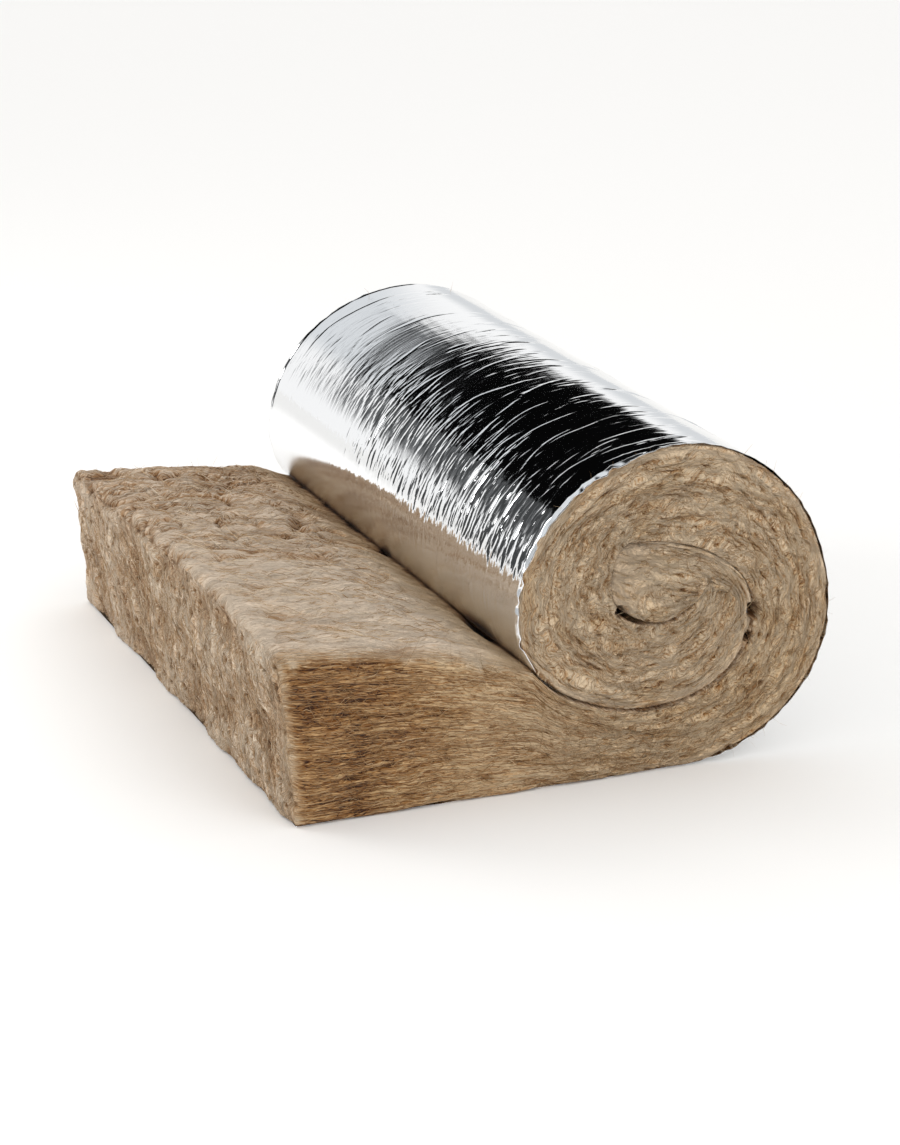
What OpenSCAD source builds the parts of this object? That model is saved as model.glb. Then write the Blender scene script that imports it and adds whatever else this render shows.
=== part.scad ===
// A length of foil-faced mineral wool blanket, partly rolled up.
// The free end lies flat at its full loft, foil down. The other end is rolled up over it with
// the foil outside, and the core has no bore: the blanket's cut end is tucked in at the middle.
// The section is drawn in X and Z and runs straight along Y, which is the roll's axis.

/* [Blanket] */
// Width of the blanket, along the roll's axis
blanket_w = 600; // [300:10:1200]
// Thickness of the loose blanket at its free end, facing included
loft_t = 150; // [120:5:200]
// Thickness of the foil facing
foil_t = 1; // [0.5:0.1:2]
// Length on the floor, from the free end to the roll's lowest line
flat_l = 337; // [260:1:600]
// Height at which the loose top runs in under the roll
meet_z = 105; // [90:1:118]

/* [Roll] */
// Height of the roll
roll_h = 285; // [235:1:400]
// How far the roll reaches from its lowest line towards the free end
reach_back = 145; // [125:1:180]
// How far the roll reaches from its lowest line away from the free end
reach_front = 145; // [120:1:200]
// How far the roll's widest lines have sagged below mid-height
sag = 18; // [0:1:24]

/* [Inner turn] */
// Thickness of the blanket squeezed under the inner turn
under_t = 57; // [45:1:68]
// Thickness of the outer turn at the front of the roll
front_t = 71; // [50:1:85]
// Thickness of the outer turn over the inner one
over_t = 80; // [60:1:96]
// Thickness of the blanket between the back of the roll and the tucked end
back_t = 87; // [60:1:95]
// Thickness of the inner turn below the crease in the core
core_t = 74; // [60:1:90]
// Thickness of the inner turn in front of the crease in the core
core_front_t = 48; // [35:1:60]
// How far the inner turn's lowest line lies behind the roll's own
low_shift = 16; // [0:1:30]
// Radius of the tucked end's upper corner
tuck_r = 16; // [8:1:24]
// Clearance between turns that lie on each other
lay_gap = 0.5; // [0.2:0.1:1]

/* [Hidden] */

arc_steps = 12; // points on each quarter of a turn
top_steps = 10; // points along the loose top
even_fall = 0.6; // share of the loose top's fall that is an even slope
foil_quarters = 6; // the facing ends where the tucked end begins
all_quarters = 9; // the crease ends the winding line
overall_l = flat_l + reach_front;

// The winding line is the facing's outer face, carried on round the tucked end and the crease.
// It touches a level or an upright line at each of these, in the order low, front, high, back.
low_0 = [flat_l, 0];
front_0 = [flat_l + reach_front, roll_h / 2 - sag];
high_0 = [flat_l + (reach_front - reach_back) / 2, roll_h];
back_0 = [flat_l - reach_back, (roll_h + under_t) / 2 - sag];
low_1 = [flat_l - low_shift, under_t];
high_1 = [back_0.x + back_t + tuck_r, roll_h - over_t];
front_1 = [front_0.x - front_t, (low_1.y + high_1.y) / 2];
crease_z = (under_t + core_t + high_1.y) / 2;
back_1 = [high_1.x - tuck_r, crease_z];
front_2 = [front_1.x - core_front_t, crease_z];
low_2 = [(back_1.x + front_2.x) / 2, under_t + core_t];
touches = [low_0, front_0, high_0, back_0, low_1, front_1, high_1, back_1, low_2, front_2];

// Which way is inwards at a low, front, high and back line
inwards = [[0, 1], [-1, 0], [0, -1], [1, 0]];

// A touching point moved inwards by d
function touch(i, d) = touches[i] + d * inwards[i % 4];

// A point on quarter i, which is a quarter of an ellipse; turn goes from 0 to 1 along it
function on_quarter(i, d, turn) =
    let (
        start = touch(i, d),
        end = touch(i + 1, d),
        centre = i % 2 == 0 ? [start.x, end.y] : [end.x, start.y]
    )
    centre + (start - centre) * cos(90 * turn) + (end - centre) * sin(90 * turn);

// The winding line moved inwards by d, from quarter a to quarter b
function winding(d, a, b) = [
    for (i = [a : b - 1])
        for (k = [(i == a ? 0 : 1) : arc_steps])
            on_quarter(i, d, k / arc_steps)
];

// Where the loose top meets the roll, on the quarter from back_0 to low_1
meet_turn = asin((back_0.y - meet_z) / (back_0.y - low_1.y)) / 90;
meet = on_quarter(3, -lay_gap, meet_turn);

// The winding line outside the inner turn, from the meeting line to the crease
under_roll = concat(
    [meet],
    [for (k = [1 : arc_steps]) if (k / arc_steps > meet_turn) on_quarter(3, -lay_gap, k / arc_steps)],
    [for (i = [4 : all_quarters - 1]) for (k = [1 : arc_steps]) on_quarter(i, -lay_gap, k / arc_steps)]
);

// The loose top, from the free end to the meeting line
function top_z(share) =
    loft_t - (loft_t - meet.y) * (even_fall * share + (1 - even_fall) * pow(share, 4));
loose_top = [for (k = [0 : top_steps - 1]) [meet.x * k / top_steps, top_z(k / top_steps)]];

function reversed(list) = [for (k = [len(list) - 1 : -1 : 0]) list[k]];

wool_section = concat(
    [[0, foil_t]],
    winding(foil_t, 0, all_quarters),
    reversed(under_roll),
    reversed(loose_top)
);

foil_section = concat(
    [[0, 0]],
    winding(0, 0, foil_quarters),
    reversed(winding(foil_t, 0, foil_quarters)),
    [[0, foil_t]]
);

// Stands a section up and runs it along Y, with the origin at the middle of the underside
module along_roll(section) {
    rotate([90, 0, 0])
        linear_extrude(blanket_w, center = true)
            translate([-overall_l / 2, 0])
                polygon(section);
}

// One continuous blanket of mineral wool, flat and then wound
module wool_blanket() {
    color("#b99c74") along_roll(wool_section);
}

// Aluminium foil laminate bonded to the blanket's underside and so to the roll's outside
module foil_facing() {
    color("#d5d8da") along_roll(foil_section);
}

wool_blanket();
foil_facing();
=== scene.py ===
import math
import bpy
import numpy as np
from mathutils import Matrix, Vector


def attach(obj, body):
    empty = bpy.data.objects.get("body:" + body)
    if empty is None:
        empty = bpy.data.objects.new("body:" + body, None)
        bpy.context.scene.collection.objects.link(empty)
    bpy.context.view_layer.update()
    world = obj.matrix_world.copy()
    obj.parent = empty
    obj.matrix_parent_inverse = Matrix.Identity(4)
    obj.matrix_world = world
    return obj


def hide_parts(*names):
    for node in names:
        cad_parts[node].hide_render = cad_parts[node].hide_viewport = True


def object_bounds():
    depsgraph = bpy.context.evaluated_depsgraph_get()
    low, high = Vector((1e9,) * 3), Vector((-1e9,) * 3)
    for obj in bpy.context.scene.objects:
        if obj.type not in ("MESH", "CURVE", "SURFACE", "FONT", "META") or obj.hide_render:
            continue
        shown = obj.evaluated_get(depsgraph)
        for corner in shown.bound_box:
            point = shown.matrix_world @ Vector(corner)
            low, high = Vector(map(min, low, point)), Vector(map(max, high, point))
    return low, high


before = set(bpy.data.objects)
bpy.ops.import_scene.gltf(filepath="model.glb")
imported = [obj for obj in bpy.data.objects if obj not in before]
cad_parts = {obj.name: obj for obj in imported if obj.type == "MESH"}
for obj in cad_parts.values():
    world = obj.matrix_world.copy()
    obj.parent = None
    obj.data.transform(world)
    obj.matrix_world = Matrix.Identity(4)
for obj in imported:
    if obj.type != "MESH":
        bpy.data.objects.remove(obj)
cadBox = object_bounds()

# the winding line, in metres; it starts at the free cut end, which is at x = 0 here
roll = {
    "flatLength": 0.337,
    "looseThick": 0.150,
    "meetHeight": 0.105,
    "height": 0.285,
    "reachBack": 0.145,
    "reachFront": 0.145,
    "sag": 0.018,
    "underThick": 0.057,
    "frontThick": 0.071,
    "overThick": 0.080,
    "backThick": 0.087,
    "coreThick": 0.074,
    "coreFrontThick": 0.048,
    "lowShift": 0.016,
    "tuckRadius": 0.016,
    "facing": 0.001,
    "layGap": 0.0005,
    "tuckDepth": 1.4,  # quarters of a turn that the tucked cut end takes
}
halfWidth = cadBox[1][1]
freeEndX = cadBox[0][0]


def touchPoints():  # where the winding line touches a level or an upright line
    r = roll
    low = (r["flatLength"], 0.0)
    front = (r["flatLength"] + r["reachFront"], r["height"] / 2 - r["sag"])
    high = (r["flatLength"] + (r["reachFront"] - r["reachBack"]) / 2, r["height"])
    back = (r["flatLength"] - r["reachBack"], (r["height"] + r["underThick"]) / 2 - r["sag"])
    innerLow = (r["flatLength"] - r["lowShift"], r["underThick"])
    innerHigh = (back[0] + r["backThick"] + r["tuckRadius"], r["height"] - r["overThick"])
    innerFront = (front[0] - r["frontThick"], (innerLow[1] + innerHigh[1]) / 2)
    creaseZ = (r["underThick"] + r["coreThick"] + innerHigh[1]) / 2
    tuckBack = (innerHigh[0] - r["tuckRadius"], creaseZ)
    creaseFront = (innerFront[0] - r["coreFrontThick"], creaseZ)
    creaseLow = ((tuckBack[0] + creaseFront[0]) / 2, r["underThick"] + r["coreThick"])
    return np.array([low, front, high, back, innerLow, innerFront, innerHigh,
                     tuckBack, creaseLow, creaseFront])


touches = touchPoints()
inwards = np.array([(0, 1), (-1, 0), (0, -1), (1, 0)], float)


def windingPoint(turn, inset):  # turn counts quarter turns from the roll's lowest line
    turn = np.atleast_1d(np.asarray(turn, float))
    i = np.clip(np.floor(turn).astype(int), 0, len(touches) - 2)
    angle = ((turn - i) * math.pi / 2)[:, None]
    start = touches[i] + inset * inwards[i % 4]
    end = touches[i + 1] + inset * inwards[(i + 1) % 4]
    even = (i % 2 == 0)[:, None]
    centre = np.where(even, np.stack([start[:, 0], end[:, 1]], 1), np.stack([end[:, 0], start[:, 1]], 1))
    return centre + (start - centre) * np.cos(angle) + (end - centre) * np.sin(angle)


def smooth(low, high, x):  # eases from 0 at low to 1 at high, whichever is larger
    share = np.clip((x - low) / (high - low), 0, 1)
    return share * share * (3 - 2 * share)


def unit(vectors):
    return vectors / np.maximum(np.linalg.norm(vectors, axis=-1, keepdims=True), 1e-12)


def noise(x, y, seed):  # smooth noise from about -1 to 1, with cells one unit wide
    xCell, yCell = np.floor(x).astype(np.int64), np.floor(y).astype(np.int64)
    xPart, yPart = x - xCell, y - yCell
    xFade = xPart ** 3 * (xPart * (xPart * 6 - 15) + 10)
    yFade = yPart ** 3 * (yPart * (yPart * 6 - 15) + 10)

    def corner(dx, dy):
        h = ((xCell + dx) * 73856093 ^ (yCell + dy) * 19349663 ^ seed * 83492791) & 0x7FFFFFFF
        h = (h ^ (h >> 15)) * 0x2C1B3C6D & 0x7FFFFFFF
        h = (h ^ (h >> 12)) * 0x297A2D39 & 0x7FFFFFFF
        angle = ((h ^ (h >> 15)) & 0xFFFF) / 65536 * 2 * math.pi
        return np.cos(angle) * (xPart - dx) + np.sin(angle) * (yPart - dy)

    near = corner(0, 0) * (1 - xFade) + corner(1, 0) * xFade
    far = corner(0, 1) * (1 - xFade) + corner(1, 1) * xFade
    return 1.5 * (near * (1 - yFade) + far * yFade)


def layered(x, y, seed, octaves):
    total, size = 0, 1.0
    for octave in range(octaves):
        total = total + noise(x / size, y / size, seed + 17 * octave) * size
        size *= 0.5
    return total / (2 - 2 * size)


# grids and joins, used by the blanket and by the foil
def vertexArray(obj):
    points = np.empty(len(obj.data.vertices) * 3)
    obj.data.vertices.foreach_get("co", points)
    return points.reshape(-1, 3)


def addGrid(name, columns, rows):  # a grid, and each vertex's column and row as whole numbers
    bpy.ops.object.select_all(action="DESELECT")
    bpy.ops.mesh.primitive_grid_add(x_subdivisions=columns, y_subdivisions=rows, size=1)
    grid = bpy.context.object
    grid.name = name
    place = (vertexArray(grid)[:, :2] + 0.5) * (columns, rows)
    place = np.rint(place).astype(int)
    return grid, place[:, 0], place[:, 1]


def shapeGrid(grid, points, strand, tone):
    mesh = grid.data
    mesh.vertices.foreach_set("co", np.asarray(points, float).ravel())
    while mesh.uv_layers:
        mesh.uv_layers.remove(mesh.uv_layers[0])
    layer = mesh.uv_layers.new(name="strand")
    owner = np.empty(len(mesh.loops), int)
    mesh.loops.foreach_get("vertex_index", owner)
    layer.data.foreach_set("uv", np.asarray(strand, float)[owner].ravel())
    for name, values in tone.items():
        mesh.attributes.new(name, "FLOAT", "POINT").data.foreach_set("value", np.asarray(values, float))
    mesh.update()


def editWhole(obj):  # opens one mesh for editing, with all of it selected
    bpy.ops.object.select_all(action="DESELECT")
    obj.select_set(True)
    bpy.context.view_layer.objects.active = obj
    bpy.ops.object.mode_set(mode="EDIT")
    bpy.ops.mesh.select_all(action="SELECT")


def joinGrids(name, grids):
    bpy.ops.object.select_all(action="DESELECT")
    for grid in grids:
        grid.select_set(True)
    bpy.context.view_layer.objects.active = grids[0]
    bpy.ops.object.join()
    whole = bpy.context.object
    whole.name = name
    editWhole(whole)
    bpy.ops.mesh.remove_doubles(threshold=0.00001)
    bpy.ops.object.mode_set(mode="OBJECT")
    return whole


def closeMesh(whole):  # fills the hair-thin gaps where fine rows meet coarse ones
    editWhole(whole)
    bpy.ops.mesh.fill_holes(sides=0)
    bpy.ops.mesh.select_all(action="SELECT")
    bpy.ops.mesh.normals_make_consistent(inside=False)
    bpy.ops.object.mode_set(mode="OBJECT")
    bpy.ops.object.shade_smooth()


def colour(hexValue):  # an sRGB hex value as the linear colour that shaders take
    channels = [int(hexValue[k:k + 2], 16) / 255 for k in (1, 3, 5)]
    return [c / 12.92 if c <= 0.04045 else ((c + 0.055) / 1.055) ** 2.4 for c in channels] + [1.0]


def addNode(material, kind, settings=None, values=None, links=None, stops=None):
    node = material.node_tree.nodes.new("ShaderNode" + kind)
    for name, value in (settings or {}).items():
        setattr(node, name, value)
    for name, value in (values or {}).items():
        node.inputs[name].default_value = value
    for name, source in (links or {}).items():
        material.node_tree.links.new(source, node.inputs[name])
    if stops:
        ramp = node.color_ramp.elements
        while len(ramp) < len(stops):
            ramp.new(0.5)
        for element, (place, shade) in zip(ramp, stops):
            element.position = place
            element.color = shade
    return node


def newMaterial(name):
    material = bpy.data.materials.new(name)
    material.use_nodes = True
    material.node_tree.nodes.clear()
    return material


def attributes(material, names):
    return [addNode(material, "Attribute", {"attribute_name": name}).outputs["Fac"] for name in names]


def flatNoise(material, vector, size, detail, roughness=0.5, slant=0):  # noise cells of a size in metres
    turned = addNode(material, "Mapping", {"vector_type": "TEXTURE"},
                     {"Rotation": (0, 0, slant), "Scale": (*size, 1), "Location": (slant, slant, 0)},
                     {"Vector": vector})
    return addNode(material, "TexNoise", {"noise_dimensions": "2D"},
                   {"Scale": 1.0, "Detail": detail, "Roughness": roughness}, {"Vector": turned.outputs[0]})


view = {
    "place": (-0.9865, -2.4531, 0.9871),
    "turn": -22.268,
    "down": 18.691,
    "lens": 96.63,
}


def makeCamera():
    bpy.context.scene.view_settings.view_transform = "Standard"
    data = bpy.data.cameras.new("camera")
    data.lens = view["lens"]
    data.sensor_width = 36
    camera = bpy.data.objects.new("camera", data)
    camera.location = view["place"]
    camera.rotation_euler = (math.radians(90 - view["down"]), 0, math.radians(view["turn"]))
    bpy.context.collection.objects.link(camera)
    bpy.context.scene.camera = camera


studio = {
    "floorSize": 40.0,
    "world": 1.0,
    "cardY": 1.9,  # the card that the foil mirrors stands this far behind the roll's middle
    "cardFrom": 2,  # degrees round the roll's axis
    "cardTo": 186,
    "cardReach": 2.6,
    "archRadius": 0.88,
    "blackFrom": 31,
    "blackTo": 132,
    "blackTaper": 46,  # the black starts this much later at its far end
    "greyTo": (150, 170),
    "hoopRadius": 2.3,
    "hoopWidth": 2.4,
    "keyLight": ((-1.25, 0.85, 0.85), 0.7, 7, (-0.2, 0.1, 0.1)),  # place, size, power, aim
    "fillLight": ((1.2, -3.0, 2.4), 2.0, 22, (0, 0, 0.1)),
}


def archTones(angle, reach):  # how much of the card is there, and how light it is
    arch, lastBlack = studio["archRadius"], studio["blackTo"]
    inArch = smooth(arch - 0.03, arch + 0.02, reach)
    pastBlack = smooth(lastBlack - 2, lastBlack + 2, angle)
    upper = studio["blackFrom"] + studio["blackTaper"] * (1 - smooth(arch - 0.1, arch + 0.45, reach)) ** 2
    black = inArch * smooth(upper - 2, upper + 2, angle) * (1 - pastBlack)
    aside = smooth(1.16, 1.26, reach)
    grey = smooth(arch - 0.04, arch + 0.04, reach) * pastBlack
    grey = grey * np.maximum(1 - smooth(*studio["greyTo"], angle), aside)
    pale = (1 - inArch) * smooth(20, 60, angle) * (1 - smooth(118, 140, angle)) * smooth(0.3, 0.6, reach)
    foot = 0.85 * (1 - smooth(12, 27, angle))  # pale grey, which shows up the roll's outline
    total = black + grey + pale + foot
    # the black and the grey both start softly at the arch
    blackLight = 0.002 + 0.45 * (1 - smooth(arch - 0.03, arch + 0.10, reach)) ** 2
    greyLight = 0.13 + 0.4 * (1 - smooth(arch - 0.07, arch + 0.07, reach)) ** 2 - 0.07 * aside
    light = blackLight * black + greyLight * grey + 0.80 * pale + 0.70 * foot
    return np.clip(total, 0, 1), light / np.maximum(total, 0.001)


def makeStudio():
    bpy.ops.object.select_all(action="DESELECT")
    bpy.ops.mesh.primitive_plane_add(size=studio["floorSize"])
    floor = bpy.context.object
    floor.name = "floor"
    paint = newMaterial("pale matt studio floor")
    shader = addNode(paint, "BsdfPrincipled", values={"Base Color": colour("#f8f7f5"), "Roughness": 0.9,
                                                      "Specular IOR Level": 0.1})
    addNode(paint, "OutputMaterial", links={"Surface": shader.outputs[0]})
    floor.data.materials.append(paint)

    world = bpy.data.worlds.new("studio")
    bpy.context.scene.world = world
    world.use_nodes = True
    world.node_tree.nodes["Background"].inputs[0].default_value = colour("#ffffff")
    world.node_tree.nodes["Background"].inputs[1].default_value = studio["world"]

    # glowing cards that only the foil mirrors, which paint its reflections: an arch behind, the same in front
    # for views from the back, and a hoop round the roll for views square to it; black above, grey at the
    # lower end, pale in the arch
    glowCards = newMaterial("glowing black and grey studio card")
    cover, light = attributes(glowCards, ("cover", "light"))
    clear = addNode(glowCards, "BsdfTransparent")
    tinted = addNode(glowCards, "VectorMath", {"operation": "SCALE"}, {0: (0.94, 0.97, 1.0)}, {"Scale": light})
    glow = addNode(glowCards, "Emission", links={"Color": tinted.outputs[0]})
    mixed = addNode(glowCards, "MixShader", {}, {}, {0: cover, 1: clear.outputs[0], 2: glow.outputs[0]})
    addNode(glowCards, "OutputMaterial", links={"Surface": mixed.outputs[0]})
    glowCards.cycles.emission_sampling = "NONE"  # the cards light nothing, they are only mirrored
    axisX, axisZ = freeEndX + 0.28, 0.21  # the cards' own axis, near the roll's
    for name in ("archBehind", "archInFront", "hoop"):
        bpy.ops.mesh.primitive_grid_add(x_subdivisions=150, y_subdivisions=60, size=1)
        card = bpy.context.object
        card.name = name
        spots = vertexArray(card)
        angle = studio["cardFrom"] + (spots[:, 0] + 0.5) * (studio["cardTo"] - studio["cardFrom"])
        reach = 0.02 + (spots[:, 1] + 0.5) * (studio["cardReach"] - 0.02)
        depth = np.full(len(spots), studio["cardY"] * (-1 if name == "archInFront" else 1))
        if name == "hoop":
            depth, reach = spots[:, 1] * studio["hoopWidth"], np.full(len(spots), studio["hoopRadius"])
            black = smooth(42, 62, angle) * (1 - smooth(92, 108, angle))
            cover, light = 1.0 + 0 * angle, 0.82 - 0.80 * black - 0.25 * smooth(120, 175, angle)
        else:
            cover, light = archTones(angle, reach)
        places = np.stack([axisX + reach * np.cos(np.radians(angle)), depth,
                           axisZ + reach * np.sin(np.radians(angle))], 1)
        card.data.vertices.foreach_set("co", places.ravel())
        card.visible_camera = card.visible_diffuse = card.visible_shadow = False
        for name, values in (("cover", cover), ("light", light)):
            card.data.attributes.new(name, "FLOAT", "POINT").data.foreach_set("value", values)
        card.data.materials.append(glowCards)

    for name in ("keyLight", "fillLight"):
        place, size, power, aim = studio[name]
        lamp = bpy.data.lights.new(name, "AREA")
        lamp.size = size
        lamp.energy = power
        light = bpy.data.objects.new(name, lamp)
        light.location = place
        direction = np.array(place) - np.array(aim)
        flat = math.hypot(direction[0], direction[1])
        light.rotation_euler = (math.atan2(flat, direction[2]), 0, math.atan2(direction[0], -direction[1]))
        bpy.context.collection.objects.link(light)


wool = {
    "topColumns": 110,  # grid columns along the bare loose top
    "rollColumns": 320,
    "layerRows": 90,  # grid rows through the thickness
    "widthRows": 280,  # grid rows across the bare top and the cut end
    "layerDepth": 0.12,  # the thickness takes this much of the fibre pattern
    "edgeRound": 0.013,
    "seamRound": 0.003,
    "leanOut": 0.014,  # the free end leans out this far at its top
    "farDrop": 0.013,  # and its far corner hangs this much lower
    "foldDepth": 0.0080,
    "tearDepth": 0.0055,
    "pitDepth": 0.0042,
    "buckles": (  # over this length, moved this far along and across, and the least share of that
        (0.036, (0.010, 0.036), 0.10),
        (0.014, (0.005, 0.018), 0.12),
        (0.006, (0.0012, 0.0045), 0.25),
    ),
    "hairs": (  # length, spacing, slant, thickness, strength, and how many of the buckles bend them
        (0.036, 0.0034, 0.04, 0.045, 1.2, 3),
        (0.018, 0.0024, 0.30, 0.045, 0.8, 3),
        (0.040, 0.0044, -0.05, 0.036, -1.1, 3),
        (0.016, 0.0040, 0.25, 0.036, -0.7, 3),
        (0.009, 0.0021, 0.15, 0.050, 0.9, 1),
        (0.008, 0.0026, -0.30, 0.050, -1.1, 1),
    ),
    "layerApart": 0.0019,
    "tufts": ((0.034, 0.0090, 1.6), (0.016, 0.0011, 1.3)),  # length, thickness, strength
}


def looseTop(share):  # height of the bare top, from the free end to where it meets the roll
    fall = roll["looseThick"] - roll["meetHeight"]
    return roll["looseThick"] - fall * (0.6 * share + 0.4 * share ** 4)


meetShare = (touches[3][1] - roll["meetHeight"]) / (touches[3][1] - touches[4][1])
turnToMeet = 3 + math.asin(meetShare) * 2 / math.pi
meetX = windingPoint(turnToMeet, -roll["layGap"])[0][0]
meetTurn = meetX / touches[4][0] - 1  # the strip's own turn value where its bare face goes under the roll


# turn -1 is the free end, 0 the roll's lowest line and 6 the tucked end; depth 0 is the foil side
def stripPoint(turn, depth):
    turn, depth = np.broadcast_arrays(np.asarray(turn, float), np.asarray(depth, float))
    onFloor, onRoll = np.clip(turn, -1, 0), np.clip(turn, 0, 6)
    foilSide = windingPoint(onRoll, roll["facing"])
    floorSide = np.stack([roll["flatLength"] * (1 + onFloor), np.full(turn.shape, roll["facing"])], 1)
    foilSide = np.where((turn < 0)[:, None], floorSide, foilSide)

    bareSide = windingPoint(np.clip(turn, 0, 5) + 4, -roll["layGap"])
    start = touches[3] + (-roll["layGap"], 0)
    end = touches[4] + (0, -roll["layGap"])
    x = end[0] * (1 + onFloor)
    cosine = np.clip((end[0] - x) / (end[0] - start[0]), -1, 1)
    underRoll = start[1] - (start[1] - end[1]) * np.sqrt(1 - cosine ** 2)
    z = np.where(x <= meetX, looseTop(np.clip(x / meetX, 0, 1)), underRoll)
    bareSide = np.where((turn < 0)[:, None], np.stack([x, z], 1), bareSide)

    tuck = np.clip(turn - 5, 0, 1)
    last = 9 - (3 - roll["tuckDepth"]) * tuck
    bareSide = np.where((turn > 5)[:, None], windingPoint(last, roll["facing"]), bareSide)
    point = foilSide + (bareSide - foilSide) * depth[:, None]
    cut = windingPoint(6 + roll["tuckDepth"] * depth, roll["facing"])
    cutStart = windingPoint(6.0, roll["facing"])
    cutEnd = windingPoint(6 + roll["tuckDepth"], roll["facing"])
    straight = cutStart + (cutEnd - cutStart) * depth[:, None]
    return point + tuck[:, None] * (cut - straight)


def lineLengths(line):  # the length from a line's start to each of its points
    return np.concatenate([[0], np.cumsum(np.linalg.norm(np.diff(line, axis=0), axis=1))])


turnTable = np.linspace(-1, 6, 2801)
lengthTable = lineLengths(stripPoint(turnTable, 0.5))
thickTable = np.linalg.norm(stripPoint(turnTable, 1.0) - stripPoint(turnTable, 0.0), axis=1)
meetLength = np.interp(meetTurn, turnTable, lengthTable)
strandStep = np.diff(lengthTable, prepend=0) * (0.55 + 0.45 * smooth(0.19, 0.34, lengthTable))
strandTable = np.cumsum(strandStep)  # fibres lie straighter and longer in the loose part


# the shadow it gives is painted shade in the splits and pits, with darker patches at random
def sideRelief(along, across, rolled):  # the cut side: layers of fibre seen edge on; height and shadow
    longer = 1.9 - 0.9 * rolled
    bent = across + (0.0012 + 0.0048 * rolled) * layered(along / 0.022, across / 0.018, 3, 3)
    strands = layered(along / (0.024 * longer), bent / 0.0026, 5, 3) * 0.0016
    split = 1 - smooth(0.0, 0.20, np.abs(noise(along / (0.055 * longer), bent / 0.010, 7)))
    split = split * smooth(-0.3, 0.4, noise(along / 0.050, across / 0.020, 8))
    lumps = noise(along / 0.050, across / 0.030, 9) * 0.0022
    pits = smooth(0.45, 0.8, noise(along / 0.011, bent / 0.006, 11)) * (0.20 + 0.80 * rolled)
    patch = smooth(0.05, 0.8, noise(along / (0.040 * longer), across / 0.020, 13))
    shadow = (0.35 + 0.15 * rolled) * split + 0.7 * pits + 0.35 * patch
    return strands + lumps - 0.0022 * split - 0.0030 * pits + 0.0016, shadow


def topRelief(along, across):  # the bare top: felted fibre in torn streaks that run along the blanket
    torn = smooth(-0.28, 0.16, across)
    bent = across + 0.014 * noise(along / 0.060, across / 0.050, 21)
    bent = bent + 0.005 * noise(along / 0.018, across / 0.015, 22)
    streaks = layered(along / 0.034, bent / 0.0085, 23, 3) * (0.0012 + 0.0026 * torn)
    fold = 1 - smooth(0.0, 0.22, np.abs(noise(along / 0.070, bent / 0.034, 25)))
    fold = fold * smooth(-0.40, 0.15, noise(along / 0.050, across / 0.040, 28)) * (0.25 + 0.75 * torn)
    tear = 1 - smooth(0.0, 0.20, np.abs(noise(along / 0.034, bent / 0.013, 26)))
    tear = tear * smooth(-0.45, 0.15, noise(along / 0.040, across / 0.030, 29)) * (0.08 + 0.92 * torn)
    lumps = noise(along / 0.080, across / 0.070, 27) * 0.0065
    lumps = lumps + noise(along / 0.040, across / 0.024, 30) * 0.0030
    free = 1 - 0.8 * smooth(meetLength - 0.05, meetLength - 0.01, along)  # pressed smooth beside the roll
    free = free * (1 - 0.5 * smooth(0.255, 0.300, across))  # and calmer at the far edge
    height = streaks + lumps - wool["foldDepth"] * fold - wool["tearDepth"] * tear + 0.0044
    return height * free, (0.65 * fold + 0.75 * tear) * free


# its shadow is painted shade in the pits, with darker patches at random
def endRelief(up, across):  # the cut end: fibre ends that hang down, with small pits
    bent = across + 0.004 * noise(up / 0.030, across / 0.020, 32)
    strands = layered(up / 0.016, bent / 0.0042, 31, 3) * 0.0019
    pits = smooth(0.30, 0.70, noise(up / 0.0095, bent / 0.0055, 33))
    lumps = noise(up / 0.060, across / 0.070, 35) * 0.0055 + noise(up / 0.030, across / 0.026, 36) * 0.0024
    patch = smooth(0.0, 0.8, noise(up / 0.035, across / 0.030, 38))
    return strands + lumps - wool["pitDepth"] * pits, 0.9 * pits + 0.3 * patch


pockets = [  # small gaps left between the turns: turn, depth, radius in metres, and how deep
    (1.00, 1.00, 0.0085, 0.016),
    (0.80, 1.00, 0.0065, 0.012),
    (5.99, 1.00, 0.0070, 0.018),
]
for share in np.linspace(0, 1, 18):  # the crease under the tucked end, closing towards its inner tip
    pockets.append((5.60 + 0.36 * share, 1.00, 0.0010 + 0.0034 * share, 0.002 + 0.012 * share))


def pocketDepth(point):  # how far a point of the blanket's side sinks into the gaps
    sink = np.zeros(len(point))
    for turn, depth, radius, deep in pockets:
        centre = stripPoint(np.array([turn]), np.array([depth]))[0]
        away = np.linalg.norm(point - centre, axis=1)
        sink = np.maximum(sink, deep * smooth(radius, radius * 0.3, away))
    return sink


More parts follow.
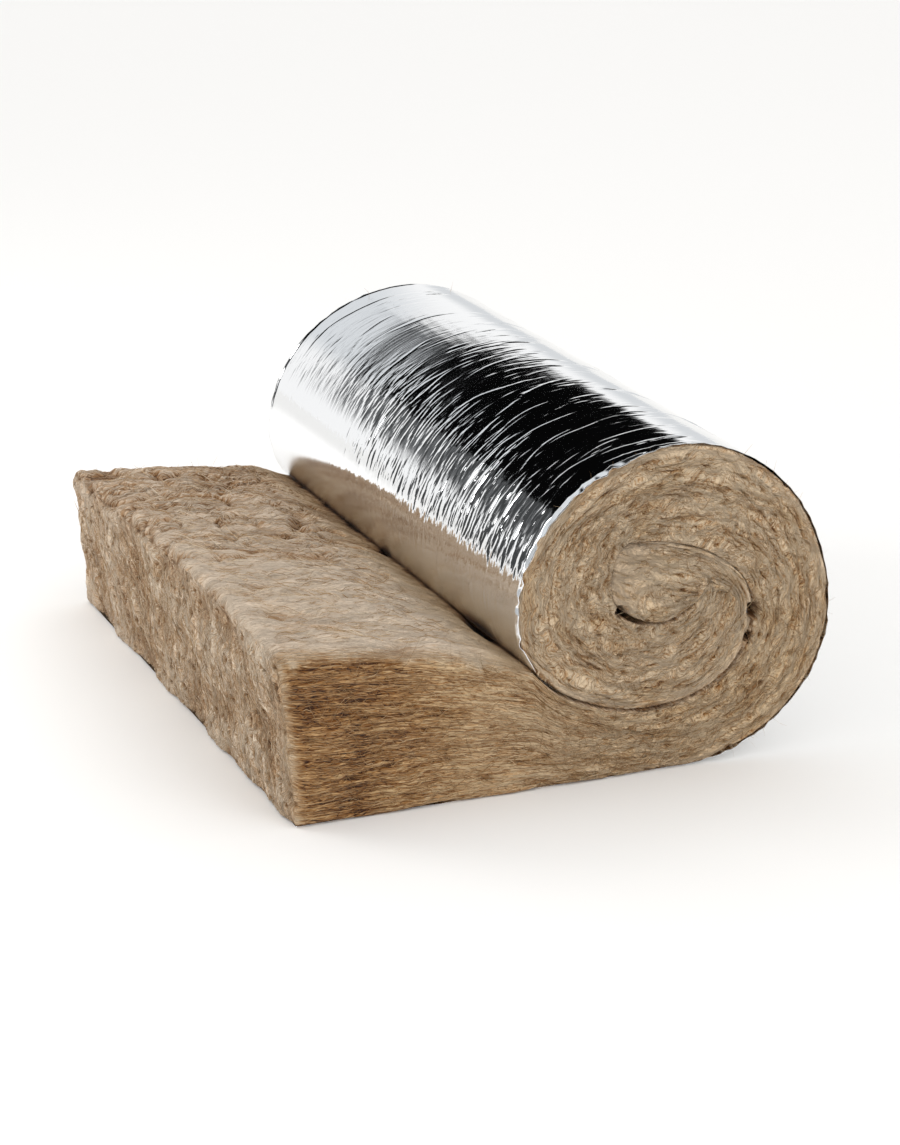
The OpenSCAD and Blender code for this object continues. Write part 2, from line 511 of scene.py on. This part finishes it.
def woolSurface(turn, depth, y):  # a point of the blanket's skin in the row frame, with its tone values
    base = stripPoint(turn, depth)
    before, after = np.maximum(turn - 0.01, -1), np.minimum(turn + 0.01, 6)
    inner, outer = np.maximum(depth - 0.02, 0), np.minimum(depth + 0.02, 1)
    along = unit(stripPoint(after, depth) - stripPoint(before, depth))
    across = unit(stripPoint(turn, outer) - stripPoint(turn, inner))
    length = np.interp(turn, turnTable, lengthTable)
    thick = np.interp(turn, turnTable, thickTable)
    edge = np.minimum(depth, 1 - depth) * thick
    rolled = smooth(0.19, 0.34, length)

    # the rims are rounded: wide on the loose part, small in the winding, pressed shut round its core
    seam, wide = wool["seamRound"], wool["edgeRound"]
    bareRound = seam + (wide - seam) * (1 - smooth(-0.02, 0.01, length - meetLength))
    closed = smooth(5.05, 5.35, np.where(depth < 0.5, turn, turn + 4)) * ((depth < 0.5) | (turn < 4))
    radius = np.where(depth > 0.5, bareRound, seam) * (1 - 0.75 * closed)
    endRound = np.maximum(radius, wide * smooth(0, 0.02, depth * thick))
    radius = np.where(length < 0.05, endRound, radius)
    backwards = -np.clip(1 - length / radius, 0, 1)
    bare = np.clip(1 - (1 - depth) * thick / radius, 0, 1) - np.clip(1 - depth * thick / radius, 0, 1)
    aside = np.sign(y) * np.clip(1 - (halfWidth - np.abs(y)) / radius, 0, 1)
    outwards = np.stack([backwards, bare, aside], 1)
    lying = unit(outwards)
    pull = (lying - outwards) * radius[:, None]
    layer = depth * wool["layerDepth"]
    sideLayer = layer + 0.5 * (y > 0)
    side, top, end = lying[:, 2] ** 2, lying[:, 1] ** 2 * (depth > 0.5), lying[:, 0] ** 2
    bareTop = top * (turn < meetTurn + 0.02)

    sideHeight, sideShadow = sideRelief(length, sideLayer, rolled)
    topHeight, topShadow = topRelief(length, y)
    # two places where the wool doesn't quite reach the roll
    gap = np.exp(-((y + 0.19) / 0.030) ** 2) + np.exp(-((y - 0.03) / 0.009) ** 2)
    gap = gap * smooth(meetLength - 0.014, meetLength - 0.004, length)
    topHeight = topHeight - 0.007 * gap
    topShadow = topShadow + 1.2 * gap
    endHeight, endShadow = endRelief(depth * thick, y)
    sink = pocketDepth(base)
    tip = smooth(5.66, 5.96, turn)
    sideHeight = sideHeight + 0.0030 * tip * layered(length / 0.011, depth * thick / 0.011, 71, 2)
    relief = side * (sideHeight - sink) + bareTop * topHeight + end * endHeight
    shadow = side * sideShadow + bareTop * topShadow + end * endShadow
    shift = pull + lying * relief[:, None]
    # where the turns are pressed shut, the wool swells over the foil's edge
    swell = 0.0007 * closed * side * (1 - smooth(0, 0.004, edge)) * np.where(depth < 0.5, -1, 1)
    forwards = 0.0013 * smooth(5.92, 6.0, turn)
    flat = base + along * (shift[:, :1] + forwards[:, None]) + across * (shift[:, 1:2] + swell[:, None])
    share = depth * thick / roll["looseThick"]
    lean = wool["leanOut"] * share ** 1.3 * (1 - smooth(0.0, 0.14, length))
    drop = wool["farDrop"] * share * smooth(-0.10, 0.28, y) * (1 - smooth(0.02, 0.24, length))
    points = np.stack([flat[:, 0] - lean + freeEndX, y + shift[:, 2],
                       np.maximum(flat[:, 1] - drop, roll["facing"])], 1)

    # painted shade: darker in the hollows of the relief, in the groove beside the foil, in the pockets and
    # along the contact line; painted light: lighter rims, a lighter bare top and a cut end lighter towards
    # its far side; the bare top and the cut end greyer
    hollowShade = smooth(-0.004, 0.004, relief) - 0.5
    grooveShade = 0.6 * smooth(0.0004, 0.0018, edge) + 0.4 * smooth(0, 0.005, edge) - 1
    grooveShade = grooveShade * np.maximum(rolled, depth < 0.5) * (1 - 0.85 * closed)
    grooveShade = grooveShade * (0.25 + 0.75 * smooth(0.020, 0.045, np.linalg.norm(base - (0.283, 0.196), axis=1)))
    ragged = 0.010 * noise(depth * thick / 0.024, 0 * y, 61)
    brow = 0.012 * noise(length / 0.030, 0 * y, 62) + 0.006 * noise(length / 0.009, 0 * y, 63)
    # painted highlight: the side's rims at the cut end and below the bare top are lighter
    endRim = 1 - smooth(0.000, 0.013, length + 0.4 * ragged)
    topRim = (1 - smooth(-0.004, 0.010, (1 - depth) * thick + brow)) * (turn < meetTurn)
    rim = side * np.maximum(endRim, topRim)
    # the bare top darker along its near edge, towards the free end
    edgeDarkAndFoilDull = top * (1 - smooth(0.002, 0.016, y + halfWidth + brow)) * (1 - smooth(0.14, 0.24, length))
    band = rolled * smooth(0.001, 0.004, depth * thick) * (1 - smooth(0.004, 0.012, depth * thick))
    streaky = 0.5 + 0.9 * noise(length / 0.12, depth * thick / 0.022, 37)
    gold = 1 - 0.4 * smooth(0.02, 0.26, length) - 0.2 * smooth(0.42, 0.60, length)
    gold = side * gold * (1 - 0.8 * rim)
    # partly the wool's own brown and partly painted shade: the loose part's side is darker towards the free
    # end
    brownAndShade = gold * (1 - smooth(0.02, 0.26, length)) * np.clip(0.5 + 0.6 * depth + 0.3 * streaky, 0, 1.2)
    far = smooth(-0.14, 0.20, y)
    # painted light: the cut end lighter and greyer towards its far side, which faces the light
    farEndLight = smooth(0.04, 0.26, y)
    # painted shade: the bare top a little darker and warmer towards the roll, and dark along the line where
    # it meets the roll
    contact = bareTop * smooth(meetLength - 0.075, meetLength, length)
    contactShade = bareTop * smooth(meetLength - 0.008, meetLength - 0.001, length)
    core = smooth(4.4, 5.1, turn)
    sideTone = 0.42 * grooveShade + 0.12 * band + 0.50 * tip + 0.19 * smooth(0.05, 0.16, length)
    # the pockets are also painted dark, as painted shade
    sideTone = sideTone + 0.12 * rolled + 0.10 * core - 24 * sink
    tone = 0.610 + 0.34 * hollowShade - 0.42 * shadow - 0.30 * brownAndShade + 0.30 * rim - 0.24 * edgeDarkAndFoilDull
    # painted light: the bare top lighter, less so towards its far side
    tone = tone + side * sideTone + (0.37 - 0.29 * far) * top + (0.12 + 0.13 * farEndLight) * end
    tone = tone - 0.03 * contact - 0.5 * contactShade
    # warmer where the wool is golden, near the roll and in the painted shade
    golden = gold + 0.8 * contact + (0.35 + 0.35 * side * rolled) * shadow
    pale = top * (1 - contact) + (0.3 + 0.5 * farEndLight) * end + side * (0.7 * tip + 0.5 * band)
    crimp = side * rolled * (1 - 0.6 * band) + (0.34 + 0.20 * far) * top + 0.9 * end
    hairy = 1.0 - top * (0.50 - 0.35 * far) * (1 + 0.4 * contact) - 0.40 * end - 0.7 * rim
    hairy = hairy - side * (0.08 * (1 - rolled) + 0.35 * band + 0.2 * tip)
    return points, {"tone": tone, "gold": np.clip(golden, 0, 1), "pale": np.clip(pale, 0, 1),
                    "crimp": crimp, "hairy": hairy}


def makeBlanket():
    share = np.concatenate([np.linspace(0, meetLength, wool["topColumns"] + 1),
                            np.linspace(meetLength, lengthTable[-1], wool["rollColumns"] + 1)[1:]])
    turns = np.interp(share, lengthTable, turnTable)
    turns[0], turns[wool["topColumns"]], turns[-1] = -1, meetTurn, 6
    depths = np.linspace(0, 1, wool["layerRows"] + 1)
    widths = np.linspace(-halfWidth, halfWidth, wool["widthRows"] + 1)
    sides = widths[[0, -1]]
    onTop = slice(0, wool["topColumns"] + 1)
    hidden = slice(wool["topColumns"], None)
    grids = []
    for name, along, down, across in (  # each grid runs along two of: turn, depth, width
        ("nearSide", turns, depths, sides[:1]),
        ("farSide", turns, depths, sides[1:]),
        ("bareTop", turns[onTop], depths[-1:], widths),
        ("cutEnd", turns[:1], depths, widths),
        ("facedSide", turns, depths[:1], sides),
        ("bareSide", turns[hidden], depths[-1:], sides),
        ("tuckedEnd", turns[-1:], depths, sides),
    ):
        runs = [run for run in (along, down, across) if len(run) > 1]
        grid, column, row = addGrid(name, len(runs[0]) - 1, len(runs[1]) - 1)
        turn = along[column] if len(along) > 1 else np.repeat(along, len(column))
        depth = down[row if len(along) > 1 else column] if len(down) > 1 else np.repeat(down, len(column))
        y = across[row] if len(across) > 1 else np.repeat(across, len(column))
        points, tone = woolSurface(turn, depth, y)
        run = np.interp(turn, turnTable, strandTable)
        layer = depth * wool["layerDepth"]
        strand = {"bareTop": (run + 4, y), "cutEnd": (depth * roll["looseThick"] + 8, y)}
        u, v = strand.get(name, (run, layer + (2 if name == "farSide" else 0)))
        shapeGrid(grid, points, np.stack([u, v], 1), tone)
        grids.append(grid)
    blanket = joinGrids("woolBlanket", grids)
    closeMesh(blanket)
    return blanket


def woolMaterial():
    # glass wool bound with resin: matt springy fibres, felted in layers, with darker gaps between them;
    # a real fibre is about 0.01 mm thick, so what is drawn is strands of many
    material = newMaterial("bound glass wool fibre")
    strand = addNode(material, "UVMap", {"uv_map": "strand"})
    tone, gold, pale, crimp, hairy = attributes(material, ("tone", "gold", "pale", "crimp", "hairy"))
    # the layers buckle, most where the blanket is rolled up
    moved = strand.outputs[0]
    stages = [moved]
    for over, reach, least in wool["buckles"]:
        buckle = addNode(material, "TexNoise", {"noise_dimensions": "2D"},
                         {"Scale": 1 / over, "Detail": 1.0}, {"Vector": moved})
        centred = addNode(material, "VectorMath", {"operation": "SUBTRACT"}, {1: (0.5, 0.5, 0.5)},
                          {0: buckle.outputs["Color"]})
        amount = addNode(material, "MapRange", {}, {"To Min": least}, {"Value": crimp})
        scaled = addNode(material, "VectorMath", {"operation": "SCALE"}, {},
                         {0: centred.outputs[0], "Scale": amount.outputs[0]})
        moved = addNode(material, "VectorMath", {"operation": "MULTIPLY_ADD"}, {1: (*reach, 0.0)},
                        {0: scaled.outputs[0], 2: moved}).outputs[0]
        stages.append(moved)
    # hairs are the contour lines of stretched noise
    height = None
    for longM, apartM, slant, thick, strength, bends in wool["hairs"]:
        texture = flatNoise(material, stages[bends], (longM, apartM), 1.0, slant=slant)
        level = addNode(material, "Math", {"operation": "SUBTRACT"}, {1: 0.5}, {0: texture.outputs[0]})
        off = addNode(material, "Math", {"operation": "ABSOLUTE"}, {}, {0: level.outputs[0]})
        line = addNode(material, "MapRange", {"interpolation_type": "SMOOTHSTEP"},
                       {"From Max": thick, "To Min": strength, "To Max": 0.0}, {"Value": off.outputs[0]})
        if height:
            line = addNode(material, "Math", {"operation": "ADD"}, {}, {0: line.outputs[0], 1: height})
        height = line.outputs[0]
    # fine parallel layers, which wander and break up
    phase = flatNoise(material, moved, (0.016, 0.0036), 1.0)
    parts = addNode(material, "SeparateXYZ", {}, {}, {"Vector": moved})
    steady = addNode(material, "Math", {"operation": "MULTIPLY"}, {1: 2 * math.pi / wool["layerApart"]},
                     {0: parts.outputs["Y"]})
    wandering = addNode(material, "Math", {"operation": "MULTIPLY_ADD"}, {1: 16.0},
                        {0: phase.outputs[0], 2: steady.outputs[0]})
    wave = addNode(material, "Math", {"operation": "SINE"}, {}, {0: wandering.outputs[0]})
    lines = addNode(material, "MapRange", {"interpolation_type": "SMOOTHSTEP"},
                    {"From Min": -0.2, "From Max": 1.0, "To Max": 1.1}, {"Value": wave.outputs[0]})
    withLines = addNode(material, "Math", {"operation": "ADD"}, {}, {0: lines.outputs[0], 1: height})
    height = withLines.outputs[0]
    for longM, thickM, strength in wool["tufts"]:
        texture = flatNoise(material, moved, (longM, thickM), 2.0, 0.6)
        height = addNode(material, "Math", {"operation": "MULTIPLY_ADD"}, {1: strength},
                         {0: texture.outputs[0], 2: height}).outputs[0]
    shaded = addNode(material, "MapRange", {},
                     {"From Min": 0.4, "From Max": 3.5, "To Min": -0.5, "To Max": 0.5}, {"Value": height})
    toned = addNode(material, "Math", {"operation": "MULTIPLY_ADD"}, {},
                    {0: shaded.outputs[0], 1: hairy, 2: tone})
    ramp = addNode(material, "ValToRGB", {}, {}, {"Fac": toned.outputs[0]}, [
        (0.0, colour("#3c2209")), (0.18, colour("#744f28")), (0.40, colour("#9a7853")),
        (0.60, colour("#b29472")), (0.80, colour("#c9af91")), (1.0, colour("#dccbb3"))])
    multiply = {"data_type": "RGBA", "blend_type": "MULTIPLY"}
    golden = addNode(material, "Mix", multiply, {7: colour("#f1dcb8")}, {0: gold, 6: ramp.outputs[0]})
    greyed = addNode(material, "Mix", multiply, {7: colour("#f6f2f2")}, {0: pale, 6: golden.outputs[2]})
    bump = addNode(material, "Bump", {}, {"Strength": 0.9, "Distance": 0.0005}, {"Height": height})
    shader = addNode(material, "BsdfPrincipled", {},
                     {"Roughness": 0.95, "Specular IOR Level": 0.15,
                      "Sheen Weight": 0.1, "Sheen Roughness": 0.6},
                     {"Base Color": greyed.outputs[2], "Normal": bump.outputs[0]})
    addNode(material, "OutputMaterial", links={"Surface": shader.outputs[0]})
    return material


# loose fibres that stand off the wool; drawn one at a time in code, because each has its own curl
fibres = {
    "near": 2800,
    "far": 2000,
    "top": 1700,
    "end": 1900,
    "long": (0.010, 0.032),
    "thick": (0.00016, 0.00034),  # strands of many fibres, because a single one is too fine to show
    "steps": 6,
    "sides": 3,
}


def makeFibres(name, count, seed):
    draw = np.random.default_rng(seed)
    steps, sides = fibres["steps"], fibres["sides"]
    turn, depth, y = np.full(count, -1.0), np.ones(count), np.zeros(count)
    inset = fibres["long"][1] / 2 + 0.002
    if name in ("near", "far"):
        turn = np.interp(draw.uniform(inset, lengthTable[-1] - inset, count), lengthTable, turnTable)
        depth = draw.uniform(0.08, 0.92, count)
        y = np.full(count, halfWidth if name == "far" else -halfWidth)
    elif name == "top":
        turn = np.interp(draw.uniform(inset, meetLength - 0.05, count), lengthTable, turnTable)
        y = draw.uniform(0.018 - halfWidth, halfWidth - 0.018, count)
    else:
        depth = draw.uniform(inset, roll["looseThick"] - inset - 0.004, count) / roll["looseThick"]
        y = draw.uniform(0.018 - halfWidth, halfWidth - 0.018, count)
    points, tone = woolSurface(turn, depth, y)
    after = woolSurface(np.clip(turn + 0.004, -1, 6), depth, y)[0]
    beside = after - woolSurface(np.clip(turn - 0.004, -1, 6), depth, y)[0]
    if name in ("near", "far"):
        run = unit(beside * (1, 0, 1))
        out = np.tile((0.0, -1.0 if name == "near" else 1.0, 0.0), (count, 1))
    elif name == "top":
        run = unit(beside)
        out = unit(np.cross(run, (0, 1, 0))) * (-1, 1, -1)
        out = np.where(out[:, 2:] < 0, -out, out)
    else:
        run = np.tile((0.0, 0.0, 1.0), (count, 1))
        out = np.tile((-1.0, 0.0, 0.0), (count, 1))
    cross = np.cross(out, run)
    lean = draw.normal(0, 0.25 + 0.35 * tone["crimp"], count)
    bend = draw.normal(0, 1, (3, count))
    longM = draw.uniform(*fibres["long"], count) * (1 - 0.45 * tone["crimp"])
    share = np.linspace(0, 1, steps + 1)[:, None]
    forward = (share - 0.5) * longM
    heading = lean + bend[0] * (share - 0.5) * 1.5
    sidewards = forward * np.tan(np.clip(heading, -1.1, 1.1)) + 0.0011 * np.sin(share * 9 + bend[1] * 3)
    lift = -0.0004 + 0.0007 * np.abs(bend[2]) * np.sin(share * math.pi)
    lift = lift + 0.0012 * (bend[1] > 1) * share ** 2
    line = (points + run * forward[..., None] * np.cos(lean)[None, :, None] + cross * sidewards[..., None]
            + out * lift[..., None])
    line[..., 2] = np.maximum(line[..., 2], 0.002)
    radius = draw.uniform(*fibres["thick"], count) * (1 - 0.7 * np.abs(share * 2 - 1) ** 3)
    angle = np.arange(sides) * 2 * math.pi / sides
    ring = cross[None, :, None] * np.cos(angle)[:, None] + out[None, :, None] * np.sin(angle)[:, None]
    verts = line[:, :, None] + ring * radius[..., None, None]  # step, fibre, side
    verts = verts.transpose(1, 0, 2, 3).reshape(-1, 3)
    low = (np.arange(steps)[:, None] * sides + np.arange(sides)).ravel()
    nextSide = (np.arange(steps)[:, None] * sides + (np.arange(sides) + 1) % sides).ravel()
    walls = np.stack([low, nextSide, nextSide + sides, low + sides], 1)
    start = np.arange(count)[:, None, None] * sides * (steps + 1)
    quads = (walls + start).reshape(-1, 4).tolist()
    firstEnd = (start[:, 0] + np.arange(sides)[::-1]).tolist()
    lastEnd = (start[:, 0] + steps * sides + np.arange(sides)).tolist()
    mesh = bpy.data.meshes.new(name)
    mesh.from_pydata(verts.tolist(), [], quads + firstEnd + lastEnd)
    # fibres darker where the wool under them is golden, which takes in its painted shade
    shade = draw.uniform(0, 1, count) + 0.15 * tone["pale"] - 0.5 * tone["gold"]
    shade = np.repeat(shade, sides * (steps + 1))
    mesh.attributes.new("shade", "FLOAT", "POINT").data.foreach_set("value", shade)
    piece = bpy.data.objects.new("woolFibres" + name.capitalize(), mesh)
    bpy.context.collection.objects.link(piece)
    editWhole(piece)
    bpy.ops.mesh.normals_make_consistent(inside=False)
    bpy.ops.object.mode_set(mode="OBJECT")
    return piece


def fibreMaterial():
    # single glass fibres in amber resin: thin, matt, from straw to brown
    material = newMaterial("loose glass wool fibre")
    shade = addNode(material, "Attribute", {"attribute_name": "shade"})
    ramp = addNode(material, "ValToRGB", {}, {}, {"Fac": shade.outputs["Fac"]}, [
        (0.0, colour("#8c6c48")), (0.4, colour("#b3946f")),
        (0.75, colour("#cdb493")), (1.0, colour("#e4d5bd"))])
    shader = addNode(material, "BsdfPrincipled", {}, {"Roughness": 0.8, "Specular IOR Level": 0.2},
                     {"Base Color": ramp.outputs[0]})
    addNode(material, "OutputMaterial", links={"Surface": shader.outputs[0]})
    return material


foil = {
    "floorColumns": 24,
    "smoothColumns": 84,
    "crumpledColumns": 56,  # across the band above the contact line, where the foil is most crumpled
    "innerColumns": 140,
    "widthRows": 600,
    "thick": 0.0004,
    "lip": 0.003,  # how far the foil stands out past the wool at each side
    "setBack": 0.003,  # the wool overhangs the foil's end by this much
    "edgeStrip": 0.030,  # the strip along each side that gives way to the torn edge
    "bentIn": 0.0032,  # how far the near edge bends in over the rim
    "longCrinkles": 110,
    "topCrinkles": 260,
    "shortCrinkles": 1500,
    "outerCrinkles": 260,
    "lowCrinkles": 160,
    "grain": ((0.045, 0.0034, 3.0), (0.020, 0.0014, 2.0), (0.009, 0.0045, 2.0)),  # length, width, detail
}
turnLine = np.linspace(0, 6, 2401)
foilLength = roll["flatLength"] + lineLengths(windingPoint(turnLine, 0.0))
topLength, contactLength = np.interp([2, turnToMeet], turnLine, foilLength)


def foilPoint(length, inset):  # a point of the winding line, by its length from the free end
    turn = np.interp(length, foilLength, turnLine)
    flat = np.stack([length, np.full(length.shape, inset)], 1)
    return np.where((length < roll["flatLength"])[:, None], flat, windingPoint(turn, inset))


def crinkleField(lengths, widths):  # heights on the fine grid: single creases that run round the roll
    draw = np.random.default_rng(11)
    field = np.zeros((len(lengths), len(widths)))
    stepY = widths[1] - widths[0]
    kinds = (  # name, length range, where along the foil, width, height, slant
        ("longCrinkles", (0.03, 0.11), (topLength - 0.02, topLength + 0.15), 0.0010, 0.00080, 0.14),
        ("topCrinkles", (0.008, 0.022), (topLength - 0.03, topLength + 0.06), 0.0009, 0.00040, 0.12),
        ("shortCrinkles", (0.008, 0.032), (topLength + 0.085, contactLength - 0.045), 0.0010, 0.00042, 0.42),
        ("outerCrinkles", (0.03, 0.12), (roll["flatLength"] + 0.03, topLength - 0.03), 0.0011, 0.00060, 0.16),
        ("lowCrinkles", (0.02, 0.05), (contactLength - 0.070, contactLength - 0.012), 0.0012, 0.00034, 0.10),
    )
    for kind, longRange, spotRange, wide, high, slant in kinds:
        for k in range(foil[kind]):
            longM = draw.uniform(*longRange)
            centre = draw.uniform(*spotRange)
            y0 = draw.uniform(-halfWidth, halfWidth)
            # the far third is smoother, but for a few sharp creases
            calm = 1 - (0.4 if k % 7 == 0 else 0.9) * smooth(0.04, 0.15, y0) * (centre > topLength)
            lean = draw.normal(0, slant)
            bend = draw.normal(0, 2.5)
            sway = draw.uniform(60, 140)
            lift = high * draw.uniform(0.1, 1.0) ** 1.4 * draw.choice([1, 1, -1]) * calm
            first = max(0, np.searchsorted(lengths, centre - longM / 2) - 1)
            last = min(len(lengths) - 1, np.searchsorted(lengths, centre + longM / 2))
            if last <= first:
                continue
            span = lengths[first:last + 1] - centre
            taper = np.clip(1 - (2 * span / longM) ** 2, 0, 1)
            line = y0 + lean * span + bend * span ** 2 + 0.0014 * np.sin(span * sway + k)
            low = int(np.clip((line.min() - 0.006 - widths[0]) / stepY, 0, len(widths) - 1))
            top = int(np.clip((line.max() + 0.006 - widths[0]) / stepY + 1, 0, len(widths) - 1))
            away = (widths[None, low:top + 1] - line[:, None]) / wide
            field[first:last + 1, low:top + 1] += lift * taper[:, None] * np.exp(-np.abs(away) ** 1.3)
    return field


def foilRelief(length, y):  # soft waves under the creases; positive is outwards
    wander = y + 0.010 * noise(length / 0.12, y / 0.10, 43)
    wave = noise(length / 0.16, wander / 0.060, 41) * 0.00022
    low = smooth(topLength + 0.08, topLength + 0.13, length)
    low = low * (1 - smooth(contactLength - 0.06, contactLength - 0.03, length))
    dense = layered(length / 0.022, wander / 0.0085, 51, 2) * 0.00014
    folds = 0.3 - np.abs(noise(length / 0.020 + wander / 0.03, wander / 0.0075, 57))
    folds = folds + 0.5 * (0.3 - np.abs(noise(length / 0.011 - wander / 0.02, wander / 0.0060, 58)))
    calm = 1 - 0.7 * smooth(0.08, 0.16, y)
    return wave + (dense * (0.05 + 0.95 * low) + folds * 0.00022 * low) * calm


def foilSurface(length, y, inset, crinkle):
    onRoll = (smooth(roll["flatLength"], roll["flatLength"] + 0.05, length)
              * (1 - smooth(contactLength - 0.01, contactLength + 0.02, length)))
    inner = smooth(contactLength - 0.02, contactLength + 0.05, length)
    edge = smooth(halfWidth - 0.001, halfWidth + foil["lip"], np.abs(y))
    back = smooth(topLength - 0.06, topLength, length)
    ragged = np.where(y < 0, 1.0, 0.3)  # the near edge is the torn one
    low = smooth(topLength + 0.08, topLength + 0.14, length)
    curl = 0.0030 * layered(length / 0.015, np.sign(y) * 3.0, 53, 3) + 0.0012 * back + 0.0020 * low
    rise = onRoll * (foilRelief(length, y) + crinkle) + edge * onRoll * curl * ragged
    flat = foilPoint(length, inset)
    outward = unit(foilPoint(length, inset - 0.001) - flat)
    bent = (y < 0) * smooth(-0.45, 0.05, noise(length / 0.016, np.sign(y) * 9.0, 59))
    bent = bent * onRoll * smooth(topLength + 0.01, topLength + 0.06, length)
    bentIn = foil["bentIn"] * np.clip(edge, 0, 1) ** 1.5 * bent
    flat = flat + outward * (np.maximum(rise * (1 - (bentIn > 0) * 0.7), -0.0003) - bentIn)[:, None]
    deepIn = smooth(4.9, 5.3, np.interp(length, foilLength, turnLine))
    # how far the edge stands out past the wool: less under it, and set in between the turns
    stand = -0.0025 + 0.0031 * onRoll + (foil["lip"] - 0.0006) * onRoll * back
    stand = stand - 0.0075 * inner - 0.010 * deepIn + 0.0012 * onRoll * ragged
    stand = stand + ragged * (0.0024 + 0.0020 * onRoll) * layered(length / 0.009, np.sign(y) * 5.0, 55, 2)
    start = halfWidth - foil["edgeStrip"]
    share = np.clip((np.abs(y) - start) / (halfWidth + foil["lip"] - start), 0, 1)
    y = y + np.sign(y) * share * (stand - foil["lip"])
    return np.stack([flat[:, 0] + freeEndX, y, np.maximum(flat[:, 1], 0)], 1)


def foilMarks(length, y):  # where the foil is crumpled, and where loose fibre has dulled it
    low = smooth(topLength + 0.07, topLength + 0.12, length)
    low = low * (1 - smooth(contactLength - 0.06, contactLength - 0.03, length))
    onRoll = smooth(topLength + 0.02, topLength + 0.04, length)
    onRoll = onRoll * (1 - smooth(contactLength, contactLength + 0.01, length))
    dull = smooth(contactLength - 0.075, contactLength - 0.040, length) * onRoll
    return {"crumple": low * (1 - 0.6 * smooth(0.08, 0.20, y)), "dull": dull}


def makeFoil():
    meet = contactLength + 0.03
    onFloor = np.linspace(foil["setBack"], roll["flatLength"], foil["floorColumns"] + 1)
    bandStart, bandEnd = topLength + 0.03, contactLength - 0.015
    before = np.linspace(roll["flatLength"], bandStart, foil["smoothColumns"] + 1)
    onRoll = np.concatenate([before[:-1], np.linspace(bandStart, bandEnd, foil["crumpledColumns"] + 1),
                             np.linspace(bandEnd, meet, 7)[1:]])
    inRoll = np.linspace(meet, foilLength[-1], foil["innerColumns"] + 1)
    allAlong = np.concatenate([onFloor, onRoll[1:], inRoll[1:]])
    reach = halfWidth + foil["lip"]
    fine = np.linspace(-reach, reach, foil["widthRows"] + 1)
    edges = np.array([0, 0.001, 0.002, 0.003, 0.0045])
    coarse = np.concatenate([-reach + edges, (reach - edges)[::-1]])
    field = crinkleField(onRoll, fine)
    grids = []
    for name, along, across in (("floorPart", onFloor, coarse), ("rollPart", onRoll, fine),
                                ("innerPart", inRoll, coarse), ("woolSide", allAlong, coarse)):
        grid, column, row = addGrid(name, len(along) - 1, len(across) - 1)
        length, y = along[column], across[row]
        inset = foil["thick"] if name == "woolSide" else 0.0
        crinkle = field[column, row] if name == "rollPart" else 0
        marks = foilMarks(length, y)
        shapeGrid(grid, foilSurface(length, y, inset, crinkle), np.stack([length, y], 1), marks)
        grids.append(grid)
    for side in (-reach, reach):  # the two long edges
        grid, column, row = addGrid("edge", len(allAlong) - 1, 1)
        length = allAlong[column]
        y = np.full(length.shape, side)
        edgeCrinkle = np.interp(length, onRoll, field[:, 0 if side < 0 else -1], left=0, right=0)
        outer = foilSurface(length, y, 0.0, edgeCrinkle)
        inner = foilSurface(length, y, foil["thick"], 0)
        marks = foilMarks(length, y)
        shapeGrid(grid, np.where((row == 0)[:, None], outer, inner), np.stack([length, y], 1), marks)
        grids.append(grid)
    sheet = joinGrids("foilFacing", grids)
    closeMesh(sheet)
    return sheet


def foilMaterial():
    # bright aluminium foil laminate: a mirror with fine crinkles that run round the roll
    material = newMaterial("bright aluminium foil laminate")
    place = addNode(material, "UVMap", {"uv_map": "strand"})
    crumple, dull = attributes(material, ("crumple", "dull"))
    heights = []
    for longM, thickM, detail in foil["grain"]:
        stretched = addNode(material, "VectorMath", {"operation": "MULTIPLY"},
                            {1: (1 / longM, 1 / thickM, 1.0)}, {0: place.outputs[0]})
        texture = addNode(material, "TexNoise", {"noise_dimensions": "2D"},
                          {"Scale": 1.0, "Detail": detail, "Roughness": 0.5},
                          {"Vector": stretched.outputs[0]})
        heights.append(texture.outputs[0])
    mixed = addNode(material, "Math", {"operation": "MULTIPLY_ADD"}, {1: 0.4},
                    {0: heights[1], 2: heights[0]})
    crushed = addNode(material, "Math", {"operation": "MULTIPLY"}, {}, {0: heights[2], 1: crumple})
    mixed = addNode(material, "Math", {"operation": "MULTIPLY_ADD"}, {1: 3.0},
                    {0: crushed.outputs[0], 2: mixed.outputs[0]})
    bump = addNode(material, "Bump", {}, {"Strength": 0.14, "Distance": 0.0003},
                   {"Height": mixed.outputs[0]})
    edgeDarkAndFoilDull = addNode(material, "MapRange", {}, {"To Min": 0.06, "To Max": 0.24}, {"Value": dull})
    shader = addNode(material, "BsdfPrincipled", {},
                     {"Base Color": colour("#f4f5f6"), "Metallic": 1.0},
                     {"Normal": bump.outputs[0], "Roughness": edgeDarkAndFoilDull.outputs[0]})
    addNode(material, "OutputMaterial", links={"Surface": shader.outputs[0]})
    return material


makeCamera()
makeStudio()
print("camera, floor and lights are in place")

blanket = makeBlanket()
blanket.data.materials.clear()
blanket.data.materials.append(woolMaterial())
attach(blanket, "root")
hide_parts("wool_blanket")
print("wool blanket:", len(blanket.data.polygons), "faces")

looseFibre = fibreMaterial()
for seed, part in enumerate(("near", "far", "top", "end")):
    tuft = makeFibres(part, fibres[part], seed + 60)
    tuft.data.materials.append(looseFibre)
    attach(tuft, "root")
    print("loose fibres,", part + ":", len(tuft.data.polygons), "faces")

facing = makeFoil()
facing.data.materials.clear()
facing.data.materials.append(foilMaterial())
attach(facing, "root")
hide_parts("foil_facing")
print("foil facing:", len(facing.data.polygons), "faces")
